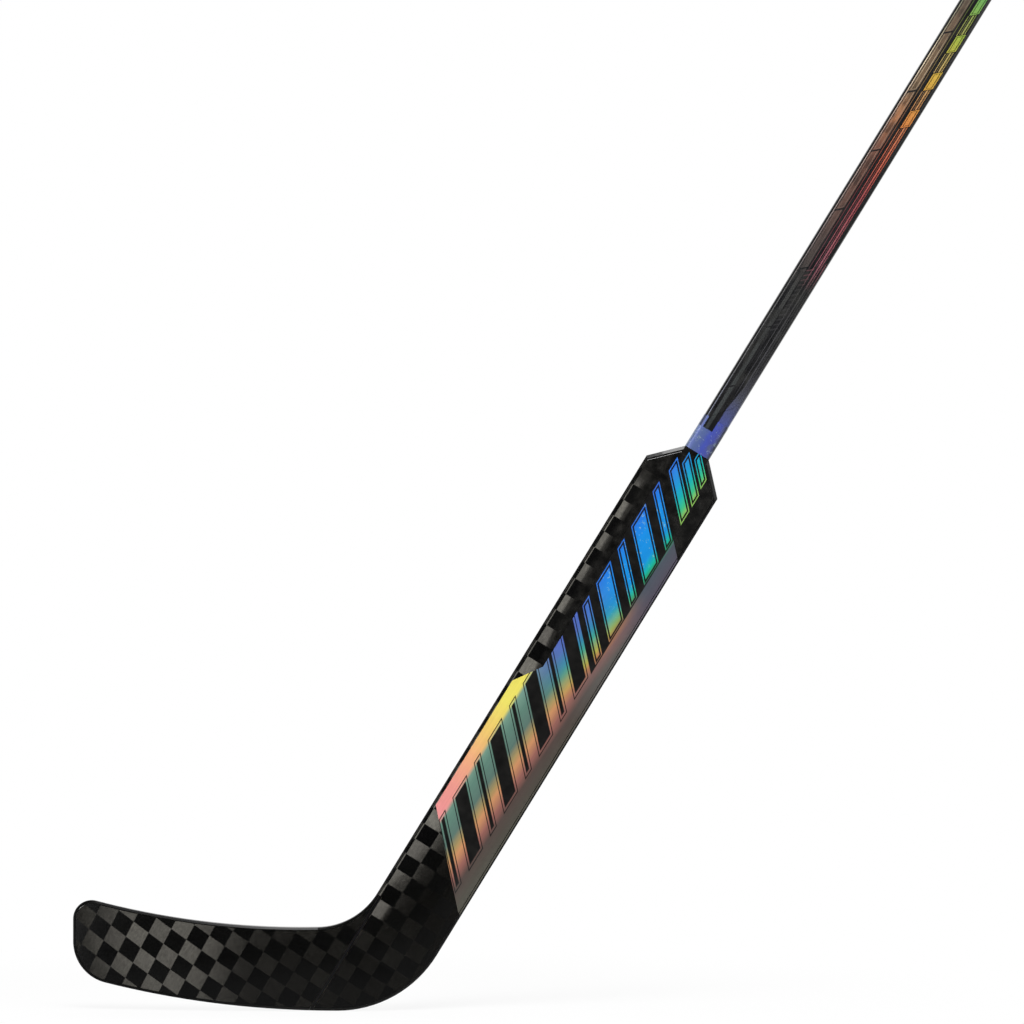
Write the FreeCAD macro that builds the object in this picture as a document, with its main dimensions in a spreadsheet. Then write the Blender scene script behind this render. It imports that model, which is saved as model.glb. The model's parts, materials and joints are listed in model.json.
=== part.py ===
# Composite hockey goalie stick, standing on its blade in the playing pose.
# Lengths are millimetres and angles are degrees.
# X runs from the toe towards the heel, Y from the front face to the back, Z up from the ice.
# The origin is where the sole touches the ice. The stick frame has its own Z along the shaft.
import FreeCAD, Part
import math
import os
import Sketcher

SIZES = {
    # Lie of the stick and the outline of the sole and heel
    "paddle_angle": 58.4,
    "heel_radius": 124.5,
    "rocker_radius": 1080.0,
    # Outline of the blade
    "toe_reach": 284.0,
    "toe_top_round": 20.0,
    "toe_sole_round": 45.0,
    "waist_reach": 38.0,
    "waist_height": 88.9,
    "top_radius": 900.0,
    "heel_fillet": 76.0,
    # Thickness and sideways curve of the blade
    "edge_depth": 15.0,
    "toe_depth": 8.0,
    "curve_start": 90.0,
    "curve_depth": 14.0,
    # Outline and crown of the paddle
    "paddle_width": 88.9,
    "paddle_length": 642.3,
    "shoulder_rise": 30.5,
    "crown_rise": 4.5,
    "crown_from": 30.0,
    "crown_full": 160.0,
    "throat_length": 60.0,
    # Layers
    "skin_thick": 1.2,
    "edge_band": 3.0,
    "edge_bevel": 2.2,
    "shoulder_band": 5.0,
    "shoulder_bevel": 3.2,
    "seam_width": 3.0,
    "heel_tip": 18.0,
    "bond": 0.2,
    # Shaft
    "shaft_width": 29.3,
    "shaft_depth": 20.0,
    "shaft_corner": 5.0,
    "shaft_wall": 2.0,
    "shaft_length": 860.0,
    # Inner joints
    "shaft_tenon_sunk": 130.0,
    "shaft_tenon_raised": 70.0,
    "heel_tenon_length": 104.0,
    "heel_tenon_height": 34.0,
    "heel_tenon_thick": 6.0,
    "heel_tenon_shift": 6.0,
    "heel_tenon_lift": 44.0,
    "heel_tenon_round": 8.0,
    # End plug
    "plug_flange": 6.0,
    "plug_round": 2.4,
    "plug_length": 42.0,
    "plug_wall": 2.2,
    "plug_floor": 3.0,
    "plug_clearance": 0.3,
    "plug_rib_width": 1.6,
    "plug_rib_rise": 0.2,
    "plug_rib_spacing": 11.0,
    # Transfer foils
    "foil_thick": 0.2,
    "foil_gap": 0.1,
    "paddle_foil_margin": 0.6,
    "paddle_foil_start": 120.0,
    "paddle_foil_slant": 86.0,
    "paddle_foil_step": 362.0,
    "paddle_foil_step_rise": 30.0,
    "paddle_foil_left": 20.5,
    "paddle_foil_end": 14.0,
    "paddle_foil_end_slant": 62.0,
    "shaft_foil_width": 18.0,
    "shaft_foil_length": 640.0,
    "shaft_foil_slant": 22.0,
    "foot_band_height": 40.0,
}

doc = FreeCAD.newDocument("GoalieStick")
sheet = doc.addObject("Spreadsheet::Sheet", "Sizes")
# Which way an outline's arc turns
LEFT = 1
RIGHT = -1
# An edge belongs to a line when it lies this close to it
MATCH = 0.01
# A bevel or rounding takes at most this share of the wall that it is cut on
CUT_SHARE = 0.85


class Size:
    # A number together with the sheet expression that gives it.
    def __init__(self, value, text):
        self.value = value
        self.text = text

    def joined(self, sign, other, value):
        return Size(value, f"({self.text} {sign} {other.text})")

    def __add__(self, other):
        other = as_size(other)
        return self.joined("+", other, self.value + other.value)

    def __sub__(self, other):
        other = as_size(other)
        return self.joined("-", other, self.value - other.value)

    def __mul__(self, other):
        other = as_size(other)
        return self.joined("*", other, self.value * other.value)

    def __truediv__(self, other):
        other = as_size(other)
        return self.joined("/", other, self.value / other.value)

    def __neg__(self):
        return Size(-self.value, f"(0 - {self.text})")


def as_size(number):
    return number if isinstance(number, Size) else Size(number, repr(number))


def root(size):
    return Size(math.sqrt(size.value), f"sqrt({size.text})")


def least(first, second):
    return Size(min(first.value, second.value), f"min({first.text}; {second.text})")


def sine(angle):
    return Size(math.sin(math.radians(angle.value)), f"sin({angle.text} * 1 deg)")


def cosine(angle):
    return Size(math.cos(math.radians(angle.value)), f"cos({angle.text} * 1 deg)")


def tangent(angle):
    return Size(math.tan(math.radians(angle.value)), f"tan({angle.text} * 1 deg)")


def write_cell(alias, content):
    row = len(size) + 1
    sheet.set(f"A{row}", alias)
    sheet.set(f"B{row}", content)
    sheet.setAlias(f"B{row}", alias)


def derive(alias, formula):
    write_cell(alias, "=" + formula.text.replace("Sizes.", ""))
    size[alias] = Size(formula.value, f"Sizes.{alias}")
    return size[alias]


size = {}
for alias, number in SIZES.items():
    write_cell(alias, str(number))
    size[alias] = Size(number, f"Sizes.{alias}")

# Directions of the stick in the plane of the photographed face
lean_sine = derive("lean_sine", sine(size["paddle_angle"]))
lean_cosine = derive("lean_cosine", cosine(size["paddle_angle"]))
half_width = derive("half_width", size["paddle_width"] / 2)
half_depth = derive("half_depth", size["edge_depth"] / 2)
band_inset = derive("band_inset", size["edge_band"] + size["bond"])
# The outer edge of the paddle, run on straight, meets the ice at the heel point
heel_reach = derive("heel_reach", size["heel_radius"] * tangent(size["paddle_angle"] / 2))
stick_x = derive("stick_x", heel_reach - half_width * lean_sine)
stick_z = derive("stick_z", half_width * lean_cosine)
# The same ice contact seen in the stick frame
sole_x = derive("sole_x", half_width - heel_reach * lean_sine)
sole_z = derive("sole_z", -(heel_reach * lean_cosine))
rocker_x = derive("rocker_x", sole_x - size["rocker_radius"] * lean_cosine)
rocker_z = derive("rocker_z", sole_z + size["rocker_radius"] * lean_sine)
# Centres of the blade's outline arcs
top_x = derive("top_x", -size["waist_reach"])
top_z = derive("top_z", size["waist_height"] + size["top_radius"])
toe_top_x = derive("toe_top_x", size["toe_top_round"] - size["toe_reach"])
toe_top_span = derive("toe_top_span", size["top_radius"] + size["toe_top_round"])
toe_top_z = derive("toe_top_z", top_z - root(
    toe_top_span * toe_top_span - (toe_top_x - top_x) * (toe_top_x - top_x)))
toe_sole_x = derive("toe_sole_x", size["toe_sole_round"] - size["toe_reach"])
toe_sole_span = derive("toe_sole_span", size["rocker_radius"] - size["toe_sole_round"])
toe_sole_z = derive("toe_sole_z", size["rocker_radius"] - root(
    toe_sole_span * toe_sole_span - toe_sole_x * toe_sole_x))
# The inner heel fillet touches the top edge arc and the inner edge of the paddle
fillet_span = derive("fillet_span", size["top_radius"] - size["heel_fillet"])
fillet_off = derive("fillet_off", size["paddle_width"] + size["heel_fillet"])
fillet_dx = derive("fillet_dx", heel_reach - fillet_off * lean_sine - top_x)
fillet_dz = derive("fillet_dz", fillet_off * lean_cosine - top_z)
fillet_dot = derive("fillet_dot", fillet_dx * lean_cosine + fillet_dz * lean_sine)
fillet_top = derive("fillet_top", -fillet_dot - root(
    fillet_dot * fillet_dot + fillet_span * fillet_span
    - fillet_dx * fillet_dx - fillet_dz * fillet_dz))
fillet_x = derive("fillet_x", heel_reach - fillet_off * lean_sine + fillet_top * lean_cosine)
fillet_z = derive("fillet_z", fillet_off * lean_cosine + fillet_top * lean_sine)
# Radii of the blade's curved front and back
curve_run = derive("curve_run", size["toe_reach"] - size["curve_start"])
taper = derive("taper", half_depth - size["toe_depth"] / 2)
front_sag = derive("front_sag", size["curve_depth"] + taper)
back_sag = derive("back_sag", size["curve_depth"] - taper)
front_radius = derive("front_radius", (curve_run * curve_run + front_sag * front_sag) / (front_sag * 2))
back_radius = derive("back_radius", (curve_run * curve_run + back_sag * back_sag) / (back_sag * 2))
# Shoulders
paddle_top = derive("paddle_top", size["paddle_length"] + size["shoulder_rise"])
half_shaft = derive("half_shaft", size["shaft_width"] / 2)
shoulder_run = derive("shoulder_run", half_width - half_shaft)
shoulder_slope = derive("shoulder_slope", root(
    shoulder_run * shoulder_run + size["shoulder_rise"] * size["shoulder_rise"]))
shoulder_inset = derive("shoulder_inset", size["shoulder_band"] + size["bond"])
neck_half = derive("neck_half", half_shaft - size["bond"])
throat_rise = derive("throat_rise", size["shaft_depth"] / 2 - half_depth)
seam_x = derive("seam_x", size["edge_band"] - half_width)
core_split = derive("core_split", paddle_top - size["shaft_tenon_sunk"])
butt = derive("butt", paddle_top + size["shaft_length"])
crown_half = derive("crown_half", half_width - band_inset)
# Bevels and roundings stay inside the bands that they are cut on
edge_cut = derive("edge_cut", least(size["edge_bevel"], size["edge_band"] * CUT_SHARE))
shoulder_cut = derive("shoulder_cut", least(size["shoulder_bevel"], size["shoulder_band"] * CUT_SHARE))
plug_cut = derive("plug_cut", least(size["plug_round"], size["plug_flange"] * CUT_SHARE))
doc.recompute()


def shoulder_height(inset_from_edge, offset):
    # Height, in the stick frame, of the shoulder line set back by offset.
    return size["paddle_length"] + (
        inset_from_edge * size["shoulder_rise"] - offset * shoulder_slope) / shoulder_run


def heel_point(inset):
    # The lowest point of the heel arc, raised by inset, in the stick frame.
    return sole_x - inset * lean_cosine, sole_z + inset * lean_sine


def sole_height(across, inset):
    # Height of the rocker arc, raised by inset, at one place across the paddle.
    radius = size["rocker_radius"] - inset
    reach = across - rocker_x
    return rocker_z - root(radius * radius - reach * reach)


def bind(thing, path, formula):
    thing.setExpression(path, formula.text)


def lean(thing):
    # Puts a body's own Z along the shaft.
    thing.Placement.Rotation = FreeCAD.Rotation(FreeCAD.Vector(0, 1, 0), 90 - size["paddle_angle"].value)
    bind(thing, "Placement.Base.x", stick_x)
    bind(thing, "Placement.Base.z", stick_z)
    bind(thing, "Placement.Rotation.Angle", Size(0, f"90 deg - {size['paddle_angle'].text} * 1 deg"))


def new_body(label, leaning):
    body = doc.addObject("PartDesign::Body", label)
    body.Label = label
    if leaning:
        lean(body)
    return body


def new_sketch(body, role, offset=None):
    sketch = body.newObject("Sketcher::SketchObject", f"{body.Name}_sketch")
    plane = next(item for item in body.Origin.OriginFeatures if item.Role == role)
    sketch.AttachmentSupport = [(plane, "")]
    sketch.MapMode = "FlatFace"
    if offset is not None:
        bind(sketch, "AttachmentOffset.Base.z", offset)
    return sketch


def arc_between(start, end, radius, turn):
    middle = (start + end) / 2
    chord = end - start
    rise = math.sqrt(radius * radius - chord.Length * chord.Length / 4)
    sideways = FreeCAD.Vector(-chord.y, chord.x, 0).normalize() * turn
    centre = middle + sideways * rise
    first, last = (start, end) if turn == LEFT else (end, start)
    circle = Part.Circle(centre, FreeCAD.Vector(0, 0, 1), radius)
    first_angle = math.atan2(first.y - centre.y, first.x - centre.x)
    last_angle = math.atan2(last.y - centre.y, last.x - centre.x)
    return Part.ArcOfCircle(circle, first_angle, last_angle)


def draw(sketch, corners):
    # Draws a closed outline. A corner is (x, y), or (x, y, radius, turn) where an arc leaves it.
    base = sketch.GeometryCount
    count = len(corners)
    points = [FreeCAD.Vector(corner[0].value, corner[1].value, 0) for corner in corners]
    starts = []
    ends = []
    for index, corner in enumerate(corners):
        start = points[index]
        end = points[(index + 1) % count]
        if len(corner) == 2:
            sketch.addGeometry(Part.LineSegment(start, end), False)
            turn = LEFT
        else:
            turn = corner[3]
            sketch.addGeometry(arc_between(start, end, corner[2].value, turn), False)
        starts.append(1 if turn == LEFT else 2)
        ends.append(2 if turn == LEFT else 1)
    for index, corner in enumerate(corners):
        following = (index + 1) % count
        sketch.addConstraint(Sketcher.Constraint(
            "Coincident", base + index, ends[index], base + following, starts[following]))
        hold(sketch, "DistanceX", (base + index, starts[index]), corner[0])
        hold(sketch, "DistanceY", (base + index, starts[index]), corner[1])
        if len(corner) > 2:
            hold(sketch, "Radius", (base + index,), corner[2])


def hold(sketch, kind, target, formula):
    number = sketch.addConstraint(Sketcher.Constraint(kind, *target, formula.value))
    name = f"{kind}_{number}"
    sketch.renameConstraint(number, name)
    bind(sketch, f"Constraints.{name}", formula)


def box_outline(half_x, half_y, corner, shift_x=None, shift_y=None):
    # A rectangle with round corners, drawn counter-clockwise.
    shift_x = as_size(0.0) if shift_x is None else shift_x
    shift_y = as_size(0.0) if shift_y is None else shift_y
    left, right = shift_x - half_x, shift_x + half_x
    low, high = shift_y - half_y, shift_y + half_y
    return [
        (left + corner, low), (right - corner, low, corner, LEFT),
        (right, low + corner), (right, high - corner, corner, LEFT),
        (right - corner, high), (left + corner, high, corner, LEFT),
        (left, high - corner), (left, low + corner, corner, LEFT),
    ]


def pad(body, sketch, length, side="One side", reverse=False):
    feature = body.newObject("PartDesign::Pad", f"{body.Name}_pad")
    feature.Profile = sketch
    feature.SideType = side
    feature.Reversed = reverse
    bind(feature, "Length", length)
    body.Tip = feature


def pocket(body, sketch, length, reverse=False):
    feature = body.newObject("PartDesign::Pocket", f"{body.Name}_pocket")
    feature.Profile = sketch
    feature.Type = "Length"
    feature.Reversed = reverse
    bind(feature, "Length", length)
    body.Tip = feature


def plate(label, corners, depth, leaning=True):
    # A flat outline in the plane of the face, padded to both sides of it.
    body = new_body(label, leaning)
    sketch = new_sketch(body, "XZ_Plane")
    draw(sketch, corners)
    pad(body, sketch, depth, "Symmetric")
    return body


def boolean(kind, label, base, tool):
    result = doc.addObject(f"Part::{kind}", label)
    result.Label = label
    result.Base = base
    result.Tool = tool
    return result


def mirrored(label, source):
    result = doc.addObject("Part::Mirroring", label)
    result.Label = label
    result.Source = source
    result.Normal = FreeCAD.Vector(0, 1, 0)
    return result


def dress_edges(body, kind, measure, wanted, amount):
    # Bevels or rounds the edges of the body's tip that the test accepts.
    doc.recompute()
    tip = body.Tip
    names = [f"Edge{index + 1}" for index, edge in enumerate(tip.Shape.Edges) if wanted(edge)]
    feature = body.newObject(f"PartDesign::{kind}", f"{body.Name}_{kind}")
    feature.Base = (tip, names)
    bind(feature, measure, amount)
    body.Tip = feature


def edge_finder(body, picks, placed):
    # Accepts the edges that lie over the picked lines of a plate's outline, but not those across it.
    # Edges of a finished solid are placed, and those of a body's own features are not.
    sketch = body.Group[0]
    lines = [sketch.Geometry[index].toShape() for index in picks]

    def over_outline(point):
        flat = Part.Vertex(point.x, point.z, 0)
        return min(flat.distToShape(line)[0] for line in lines) < MATCH

    def accepts(edge):
        to_body = body.Placement.inverse() if placed else FreeCAD.Placement()
        middle = (edge.FirstParameter + edge.LastParameter) / 2
        stops = (edge.FirstParameter, edge.LastParameter, middle)
        places = [to_body.multVec(edge.valueAt(stop)) for stop in stops]
        across = FreeCAD.Vector(places[1].x - places[0].x, 0, places[1].z - places[0].z)
        return across.Length > MATCH and all(over_outline(place) for place in places)

    return accepts


def bevel_solid(label, base, wanted, amount):
    doc.recompute()
    result = doc.addObject("Part::Chamfer", label)
    result.Label = label
    result.Base = base
    result.Edges = [(index + 1, amount.value, amount.value)
                    for index, edge in enumerate(base.Shape.Edges) if wanted(edge)]
    return result


# Blade


def in_blade_plane(across, along):
    # Turns a place in the stick frame into X and Z of the standing stick.
    return (stick_x + across * lean_sine + along * lean_cosine,
            stick_z - across * lean_cosine + along * lean_sine)


def blade_outline(inset, seam, drop):
    # Clockwise from the foot of the seam: sole, toe, top edge, heel fillet and back to the seam.
    reach = inset - size["toe_reach"]
    sole_share = (size["rocker_radius"] - inset) / toe_sole_span
    top_share = (size["top_radius"] + inset) / toe_top_span
    fillet_share = (size["top_radius"] + inset) / fillet_span
    fillet_radius = size["heel_fillet"] + inset
    head = fillet_top - drop
    head_edge = root(fillet_radius * fillet_radius - drop * drop) - half_width - size["heel_fillet"]
    return [
        (*in_blade_plane(seam, sole_height(seam, inset)), size["rocker_radius"] - inset, RIGHT),
        (toe_sole_x * sole_share,
         size["rocker_radius"] + (toe_sole_z - size["rocker_radius"]) * sole_share,
         size["toe_sole_round"] - inset, RIGHT),
        (reach, toe_sole_z),
        (reach, toe_top_z, size["toe_top_round"] - inset, RIGHT),
        (top_x + (toe_top_x - top_x) * top_share, top_z + (toe_top_z - top_z) * top_share,
         size["top_radius"] + inset, LEFT),
        (top_x + (fillet_x - top_x) * fillet_share, top_z + (fillet_z - top_z) * fillet_share,
         fillet_radius, LEFT),
        in_blade_plane(head_edge, head),
        in_blade_plane(seam, head),
    ]


def face_curve(radius, heel_y, inset):
    # One long face of the blade seen from above, as its heel Y, its radius and its toe Y.
    run = size["toe_reach"] + size["edge_depth"] - size["curve_start"]
    return heel_y + inset, radius - inset, heel_y + radius - root(
        (radius - inset) * (radius - inset) - run * run)


def front_face(inset):
    return face_curve(front_radius, -half_depth, inset)


def back_face(inset):
    return face_curve(back_radius, half_depth, -inset)


def blade_band(label, front, back):
    # The blade between two of its faces, seen from above and padded past the top of the toe.
    body = new_body(label, False)
    sketch = new_sketch(body, "XY_Plane")
    heel_end = heel_reach + size["paddle_width"]
    curve_x = -size["curve_start"]
    toe_end = -(size["toe_reach"] + size["edge_depth"])
    draw(sketch, [
        (heel_end, front[0]),
        (heel_end, back[0]),
        (curve_x, back[0], back[1], RIGHT),
        (toe_end, back[2]),
        (toe_end, front[2], front[1], LEFT),
        (curve_x, front[0]),
    ])
    pad(body, sketch, size["waist_height"] + size["paddle_width"])
    return body


def blade_layer(label, front, back):
    outline = blade_outline(band_inset, seam_x, size["heel_tip"] + size["bond"])
    return boolean(
        "Common", label,
        plate(f"{label}_outline", outline, size["paddle_width"], False),
        blade_band(f"{label}_band", front, back))


def make_blade(tenon_pocket):
    # A bevelled rim round two skins and a foam core, cut from one curved and tapered blade.
    none = as_size(0.0)
    skin = size["skin_thick"]
    under = skin + size["bond"]
    outside = plate("rim_outside", blade_outline(none, seam_x, size["bond"]), size["paddle_width"], False)
    inside = plate(
        "rim_inside", blade_outline(size["edge_band"], seam_x + size["edge_band"], size["heel_tip"]),
        size["paddle_width"], False)
    ring = boolean("Cut", "rim_ring", outside, inside)
    square = boolean("Common", "rim_square", ring, blade_band("rim_band", front_face(none), back_face(none)))
    on_edge = edge_finder(outside, range(6), True)
    core = blade_layer("core_block", front_face(under), back_face(under))
    return {
        "blade_rim": bevel_solid("blade_rim", square, on_edge, edge_cut),
        "blade_front_skin": blade_layer("blade_front_skin", front_face(none), front_face(skin)),
        "blade_back_skin": blade_layer("blade_back_skin", back_face(skin), back_face(none)),
        "blade_core": boolean("Cut", "blade_core", core, tenon_pocket),
    }


# Heel joint


def heel_block(label, room):
    # A flat board across the seam, or the slot for it with some room all round.
    outline = box_outline(
        size["heel_tenon_length"] / 2 + room, size["heel_tenon_height"] / 2 + room,
        size["heel_tenon_round"], -size["heel_tenon_shift"], size["heel_tenon_lift"])
    return plate(label, outline, size["heel_tenon_thick"] + room * 2, False)


def make_seam_strips():
    # Narrow strips let into the front and back over the line where blade and paddle meet.
    body = new_body("heel_seam_front", True)
    sketch = new_sketch(body, "XZ_Plane", half_depth - size["skin_thick"])
    near = seam_x + size["bond"]
    far = near + size["seam_width"]
    head = fillet_top - size["bond"]
    draw(sketch, [
        (near, sole_height(near, band_inset)),
        (far, sole_height(far, band_inset)),
        (far, head),
        (near, head),
    ])
    pad(body, sketch, size["skin_thick"])
    return {"heel_seam_front": body, "heel_seam_back": mirrored("heel_seam_back", body)}


# Paddle


def crown_layer(label, low, high):
    # A layer that follows the crowned front, between two distances out from the edge plane.
    body = new_body(label, True)
    sections = []
    for height, rise in crown_stations():
        sketch = new_sketch(body, "XY_Plane", height)
        draw(sketch, [
            (-crown_half, -half_depth - high, *crown_arc(crown_half, rise, LEFT)),
            (crown_half, -half_depth - high),
            (crown_half, -half_depth - low, *crown_arc(crown_half, rise, RIGHT)),
            (-crown_half, -half_depth - low),
        ])
        sections.append(sketch)
    loft(body, sections)
    return body


def crown_block(label, half, inset):
    # The whole crowned paddle inside one layer, from the front round to the back.
    body = new_body(label, True)
    sections = []
    for height, rise in crown_stations():
        sketch = new_sketch(body, "XY_Plane", height)
        draw(sketch, [
            (-half, inset - half_depth, *crown_arc(half, rise, LEFT)),
            (half, inset - half_depth),
            (half, half_depth - inset, *crown_arc(half, rise, LEFT)),
            (-half, half_depth - inset),
        ])
        sections.append(sketch)
    loft(body, sections)
    return body


def crown_stations():
    # Heights in the stick frame with the crown's rise there: flat at the heel, flush at the shaft.
    flat = None
    return [
        (-heel_reach, flat),
        (size["crown_from"], flat),
        (size["crown_full"], size["crown_rise"]),
        (paddle_top - size["throat_length"], size["crown_rise"]),
        (paddle_top, throat_rise),
    ]


def crown_arc(half, rise, turn):
    # The arc that rises by that much over a chord from one edge of the crown to the other.
    if rise is None:
        return ()
    return (half * half + rise * rise) / (rise * 2), turn


def loft(body, sections):
    feature = body.newObject("PartDesign::AdditiveLoft", f"{body.Name}_loft")
    feature.Profile = sections[0]
    feature.Sections = [(section, [""]) for section in sections[1:]]
    feature.Ruled = True
    body.Tip = feature


def sole_corners(across, inset):
    # From the outer edge round the heel and along the sole to one place across the paddle.
    edge = half_width - inset
    return [
        (edge, heel_reach, size["heel_radius"] - inset, RIGHT),
        (*heel_point(inset), size["rocker_radius"] - inset, RIGHT),
        (across, sole_height(across, inset)),
    ]


def make_rails():
    # Edge bands: the outer one runs on round the heel and along the sole to the seam.
    inner_edge = half_width - size["edge_band"]
    mitre = shoulder_height(size["edge_band"], size["shoulder_band"])
    seam_end = seam_x + size["bond"]
    outside = [(half_width, size["paddle_length"])] + sole_corners(seam_end, as_size(0.0))
    inside = [
        (seam_end, sole_height(seam_end, size["edge_band"]), size["rocker_radius"] - size["edge_band"], LEFT),
        (*heel_point(size["edge_band"]), size["heel_radius"] - size["edge_band"], LEFT),
        (inner_edge, heel_reach),
        (inner_edge, mitre),
    ]
    outer = plate("paddle_outer_rail", outside + inside, size["edge_depth"])
    dress_edges(outer, "Chamfer", "Size", edge_finder(outer, range(3), False), edge_cut)
    inner = plate("paddle_inner_rail", [
        (-half_width, fillet_top),
        (-half_width, size["paddle_length"]),
        (-inner_edge, mitre),
        (-inner_edge, fillet_top),
    ], size["edge_depth"])
    dress_edges(inner, "Chamfer", "Size", edge_finder(inner, range(1), False), edge_cut)
    return {"paddle_outer_rail": outer, "paddle_inner_rail": inner}


def make_shoulders():
    # Sloping caps that close the top of the paddle on each side of the shaft.
    caps = {}
    band = size["shoulder_band"]
    depth = size["paddle_width"]
    for label, side in (("outer_shoulder_cap", 1), ("inner_shoulder_cap", -1)):
        outline = plate(f"{label}_outline", [
            (half_width * side, size["paddle_length"]),
            (half_shaft * side, paddle_top),
            (half_shaft * side, shoulder_height(shoulder_run, band)),
            ((half_width - size["edge_band"]) * side, shoulder_height(size["edge_band"], band)),
        ], depth)
        square = boolean("Common", f"{label}_square", outline,
                         crown_block(f"{label}_crown", half_width, as_size(0.0)))
        caps[label] = bevel_solid(label, square, edge_finder(outline, range(1), True), shoulder_cut)
    return caps


def make_paddle(tenon_pocket):
    # Two crowned skins over three foam cores.
    deep = size["paddle_width"]
    edge = half_width - band_inset
    under = size["skin_thick"] + size["bond"]
    notch = seam_x + size["bond"] * 2 + size["seam_width"]
    edge_top = shoulder_height(band_inset, shoulder_inset)
    neck_foot = shoulder_height(half_width - neck_half, shoulder_inset)
    skin_outline = [(edge, edge_top)] + sole_corners(notch, band_inset) + [
        (notch, fillet_top),
        (-edge, fillet_top),
        (-edge, edge_top),
        (-neck_half, neck_foot),
        (-neck_half, paddle_top),
        (neck_half, paddle_top),
        (neck_half, neck_foot),
    ]
    front = boolean("Common", "paddle_front_skin",
                    plate("paddle_skin_outline", skin_outline, deep),
                    crown_layer("paddle_skin_crown", -size["skin_thick"], as_size(0.0)))
    pieces = {"paddle_front_skin": front, "paddle_back_skin": mirrored("paddle_back_skin", front)}
    lower_top = core_split - size["bond"]
    lower_outline = [(edge, lower_top)] + sole_corners(-edge, band_inset) + [(-edge, lower_top)]
    lower = boolean("Common", "lower_core_block",
                    plate("lower_core_outline", lower_outline, deep),
                    crown_block("lower_core_crown", crown_half, under))
    pieces["paddle_lower_core"] = boolean("Cut", "paddle_lower_core", lower, tenon_pocket)
    side = neck_half + size["bond"]
    side_top = shoulder_height(half_width - side, shoulder_inset)
    for label, sign in (("paddle_outer_core", 1), ("paddle_inner_core", -1)):
        outline = plate(f"{label}_outline", [
            (edge * sign, core_split),
            (edge * sign, edge_top),
            (side * sign, side_top),
            (side * sign, core_split),
        ], deep)
        pieces[label] = boolean(
            "Common", label, outline, crown_block(f"{label}_crown", crown_half, under))
    return pieces


def make_paddle_foil():
    # As wide as the face near the heel, then stepped in on the blade's side, with slanted ends.
    edge = crown_half - size["paddle_foil_margin"]
    left = -size["paddle_foil_left"]
    low = size["paddle_foil_start"]
    step = size["paddle_foil_step"]
    high = size["paddle_length"] - size["paddle_foil_end"]
    outline = plate("paddle_foil_outline", [
        (-edge, low + size["paddle_foil_slant"]),
        (edge, low),
        (edge, high - size["paddle_foil_end_slant"]),
        (left, high),
        (left, step + size["paddle_foil_step_rise"]),
        (-edge, step),
    ], size["paddle_width"])
    layer = crown_layer("paddle_foil_crown", size["foil_gap"], size["foil_gap"] + size["foil_thick"])
    return {"paddle_foil": boolean("Common", "paddle_foil", outline, layer)}


# Shaft


def tube_outline(grow):
    # The shaft's section, grown or shrunk by the same amount all round.
    return box_outline(
        half_shaft + grow, size["shaft_depth"] / 2 + grow, size["shaft_corner"] + grow)


def prism(label, height, outlines, length):
    body = new_body(label, True)
    sketch = new_sketch(body, "XY_Plane", height)
    for outline in outlines:
        draw(sketch, outline)
    pad(body, sketch, length)
    return body


def make_shaft():
    # The tube stands on the paddle's throat and slips over a tenon that is bonded into both.
    none = as_size(0.0)
    tube = prism("shaft_tube", paddle_top, [tube_outline(none), tube_outline(-size["shaft_wall"])],
                 size["shaft_length"])
    under = size["skin_thick"] + size["bond"]
    sunk = plate("tenon_outline", [
        (-neck_half, core_split), (neck_half, core_split), (neck_half, paddle_top), (-neck_half, paddle_top),
    ], size["paddle_width"])
    foot = boolean("Common", "tenon_foot", sunk, crown_block("tenon_crown", crown_half, under))
    raised = prism("tenon_spigot", paddle_top, [tube_outline(-(size["shaft_wall"] + size["bond"]))],
                   size["shaft_tenon_raised"])
    tenon = boolean("Fuse", "shaft_tenon", foot, raised)
    gap = size["foil_gap"]
    outer = gap + size["foil_thick"]
    band = prism("shaft_foot_band", paddle_top, [tube_outline(outer), tube_outline(gap)],
                 size["foot_band_height"])
    foil = new_body("shaft_foil", True)
    sketch = new_sketch(foil, "XZ_Plane", size["shaft_depth"] / 2 + gap)
    side = size["shaft_foil_width"] / 2
    low = paddle_top + size["foot_band_height"] + size["bond"]
    high = low + size["shaft_foil_length"]
    slant = size["shaft_foil_slant"]
    draw(sketch, [(-side, low), (side, low + slant), (side, high), (-side, high - slant)])
    pad(foil, sketch, size["foil_thick"])
    return {"shaft_tube": tube, "shaft_tenon": tenon, "shaft_foot_band": band, "shaft_foil": foil}


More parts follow.
